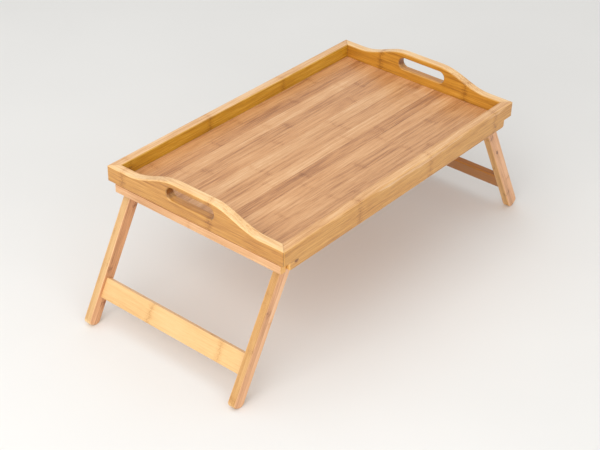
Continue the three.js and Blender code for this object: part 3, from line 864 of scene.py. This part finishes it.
LEG_Y = -(LEG_LOW.y + LEG_HIGH.y) / 2
for index, end in enumerate(("left", "right")):
    hung = frame_place(end)
    body = f"leg_frame_{end}"
    for across in (-1, 1):
        side = "front" if (across < 0) == (end == "left") else "back"
        place = hung @ Matrix.Translation((0, across * LEG_Y, 0))
        fair = (end, side) == ("left", "back")
        knotted = (end, side) == ("right", "front")
        look = bamboo(f"leg_bamboo_{end}_{side}", place, PALE if fair else AMBER,
                      seed=41 + 2 * index + across, lamella=(5.9, 9.6), start=(0.3, -4.4),
                      internode=140, faces=(("*Y", ROSY),), seams=0.2, streaks=0.8,
                      marks=LEG_MARKS if knotted else ())
        finish_piece(leg(f"leg_{end}_{side}_bar"), place, look, body, "leg_bamboo",
                     f"leg_{end}_{side}")
    along = Matrix.Translation((BAR_MIDDLE, 0, PIVOT_INSET - LEG_WIDTH / 2))
    lying = Matrix(((0, 0, -1), (1, 0, 0), (0, -1, 0))).to_4x4()
    place = hung @ along @ lying
    # The right crossbar's darker SHADED palette is painted shade.
    look = bamboo(f"crossbar_bamboo_{end}", place, PALE if end == "left" else SHADED,
                  seed=51 + index, lamella=(5, 40), start=(-1.5, -20), internode=120,
                  contrast=0.25, streaks=0.5)
    finish_piece(crossbar(f"crossbar_{end}_bar"), place, look, body, "crossbar_bamboo",
                 f"crossbar_{end}")

# ------------------------------------------------------------------ screws, washers and joinery


def pivot_screw(name):
    """A shoulder screw along its own Z, from its tip at the origin to its domed head, which has
    a hexagon recess."""
    length = SCREW_HIGH.y - SCREW_LOW.y
    seat = length - HEAD_HEIGHT
    shoulder = -INNER_WIDTH + 2 * GAP - SCREW_LOW.y
    head = (SCREW_HIGH.x - SCREW_LOW.x) / 2
    dome = HEAD_HEIGHT - HEAD_RIM
    profile = [(0, 0), (THREAD_RADIUS - TIP_CHAMFER, 0)]
    profile += thread(THREAD_RADIUS, THREAD_DEPTH, TIP_CHAMFER, shoulder, THREAD_PITCH)
    profile += [(THREAD_RADIUS, shoulder), (SHOULDER_RADIUS, shoulder), (SHOULDER_RADIUS, seat)]
    profile += [(head - GAP, seat), (head, seat + GAP)]
    for i in range(DOME_STEPS + 1):
        angle = math.pi / 2 * i / DOME_STEPS
        profile.append((head * math.cos(angle), seat + HEAD_RIM + dome * math.sin(angle)))
    piece = to_object(name, lathe(profile))
    recess = lathe([(0, length - HEX_DEPTH), (HEX_RADIUS, length - HEX_DEPTH),
                    (HEX_RADIUS, length + MM), (0, length + MM)], 6)
    carve(piece, [recess])
    return piece


def pivot_washer(name):
    """A washer about its own Z, with its lower face at the origin and softened edges."""
    inner = SHOULDER_RADIUS + 2 * GAP
    outer = (WASHER_HIGH.x - WASHER_LOW.x) / 2
    top = WASHER_HIGH.y - WASHER_LOW.y
    ring = [(inner, GAP), (inner + GAP, 0), (outer - GAP, 0), (outer, GAP), (outer, top - GAP),
            (outer - GAP, top), (inner + GAP, top), (inner, top - GAP), (inner, GAP)]
    return to_object(name, lathe(ring))


def batten_screw(name):
    """A countersunk wood screw standing on its head, with a cross recess in the head."""
    length = BATTEN_SCREW_HIGH.z - BATTEN_SCREW_LOW.z
    head = (BATTEN_SCREW_HIGH.x - BATTEN_SCREW_LOW.x) / 2
    neck = length - BATTEN_POINT
    profile = [(0, 0), (head - GAP, 0), (head, GAP), (head, CONE_RIM), (BATTEN_SHANK, CONE_HEIGHT)]
    profile += thread(BATTEN_SHANK, THREAD_DEPTH, 3 * CONE_HEIGHT, neck, THREAD_PITCH)
    profile += [(BATTEN_SHANK, neck), (BATTEN_TIP, length), (0, length)]
    piece = to_object(name, lathe(profile, 32))
    arms = [(CROSS_ARM, CROSS_WIDTH), (CROSS_WIDTH, CROSS_ARM)]
    carve(piece, [block((-x, -y, -MM), (x, y, CROSS_DEPTH)) for x, y in arms])
    return piece


for index, end in enumerate(("left", "right")):
    turn = Matrix.Rotation(index * math.pi, 4, "Z")
    for step in (-1, 0, 1):
        number = step + 2
        middle = (BATTEN_SCREW_LOW + BATTEN_SCREW_HIGH) / 2
        spot = Vector((middle.x, middle.y + step * BATTEN_SCREW_SPACING, BATTEN_SCREW_LOW.z))
        finish_piece(batten_screw(f"batten_screw_{end}_{number}_turned"),
                     turn @ Matrix.Translation(spot), STEEL, "tray", "screw_steel",
                     f"batten_screw_{end}_{number}")
    for side, facing in (("front", -1), ("back", 1)):
        across = facing if end == "left" else -facing
        about = Matrix.Rotation(across * math.pi / 2, 4, "X")
        spot = Matrix.Translation((PIVOT.x, -across * SCREW_LOW.y, PIVOT.z))
        finish_piece(pivot_screw(f"pivot_screw_{end}_{side}_turned"), turn @ spot @ about, STEEL,
                     "tray", "screw_steel", f"pivot_screw_{end}_{side}")
        spot = Matrix.Translation((PIVOT.x, -across * WASHER_LOW.y, PIVOT.z))
        finish_piece(pivot_washer(f"pivot_washer_{end}_{side}_ring"), turn @ spot @ about, NYLON,
                     "tray", "washer_nylon", f"pivot_washer_{end}_{side}")

for name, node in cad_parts.items():
    if name.startswith(("bar_dowel", "mitre_key")):
        for holder in node.material_slots:
            holder.material = JOINERY

# ------------------------------------------------------------------ stage, lights and camera


def stage_floor():
    bm = bmesh.new()
    bmesh.ops.create_grid(bm, x_segments=8, y_segments=8, size=6)
    made = to_object("floor", bm)
    made.data.materials.append(backdrop("backdrop"))


def softbox(name, place, aim, size, power):
    """A plain white area light that looks from its place towards its aim."""
    lamp = bpy.data.lights.new(name, "AREA")
    lamp.shape = "RECTANGLE"
    lamp.size, lamp.size_y = size
    lamp.energy = power
    made = bpy.data.objects.new(name, lamp)
    made.location = place
    made.rotation_euler = (Vector(aim) - Vector(place)).to_track_quat("-Z", "Y").to_euler()
    bpy.context.scene.collection.objects.link(made)


VIEW_AZIMUTH = math.radians(-51.043)
VIEW_ELEVATION = math.radians(33.402)
VIEW_ROLL = math.radians(1.397)
VIEW_FROM = Vector((-1.28817, -1.01263, 1.13933))
VIEW_LENS = 83.54


def photograph_view():
    back = Vector((
        math.sin(VIEW_AZIMUTH) * math.cos(VIEW_ELEVATION),
        -math.cos(VIEW_AZIMUTH) * math.cos(VIEW_ELEVATION),
        math.sin(VIEW_ELEVATION),
    ))
    right = Vector((math.cos(VIEW_AZIMUTH), math.sin(VIEW_AZIMUTH), 0))
    level = Matrix((right, back.cross(right), back)).transposed().to_4x4()
    data = bpy.data.cameras.new("camera")
    data.lens = VIEW_LENS
    data.sensor_width = 36
    camera = bpy.data.objects.new("camera", data)
    camera.matrix_world = Matrix.Translation(VIEW_FROM) @ level @ Matrix.Rotation(VIEW_ROLL, 4, "Z")
    bpy.context.scene.collection.objects.link(camera)
    bpy.context.scene.camera = camera


stage_floor()
world = bpy.data.worlds.new("studio")
world.use_nodes = True
world.node_tree.nodes["Background"].inputs["Color"].default_value = (1, 1, 1, 1)
world.node_tree.nodes["Background"].inputs["Strength"].default_value = 0.67
bpy.context.scene.world = world
softbox("top_softbox", (-0.6, 0.2, 2.1), (-0.1, 0, 0.2), (2.0, 1.8), 9)
softbox("left_softbox", (-1.7, -0.4, 1.4), (-0.1, 0, 0.15), (1.5, 1.4), 18.5)
softbox("front_softbox", (-1.0, -1.9, 0.9), (-0.2, 0, 0.15), (1.4, 1.2), 8)
softbox("back_softbox", (1.9, 1.5, 1.6), (0, 0, 0.2), (2.4, 1.6), 1.5)
photograph_view()
bpy.context.scene.view_settings.view_transform = "Standard"
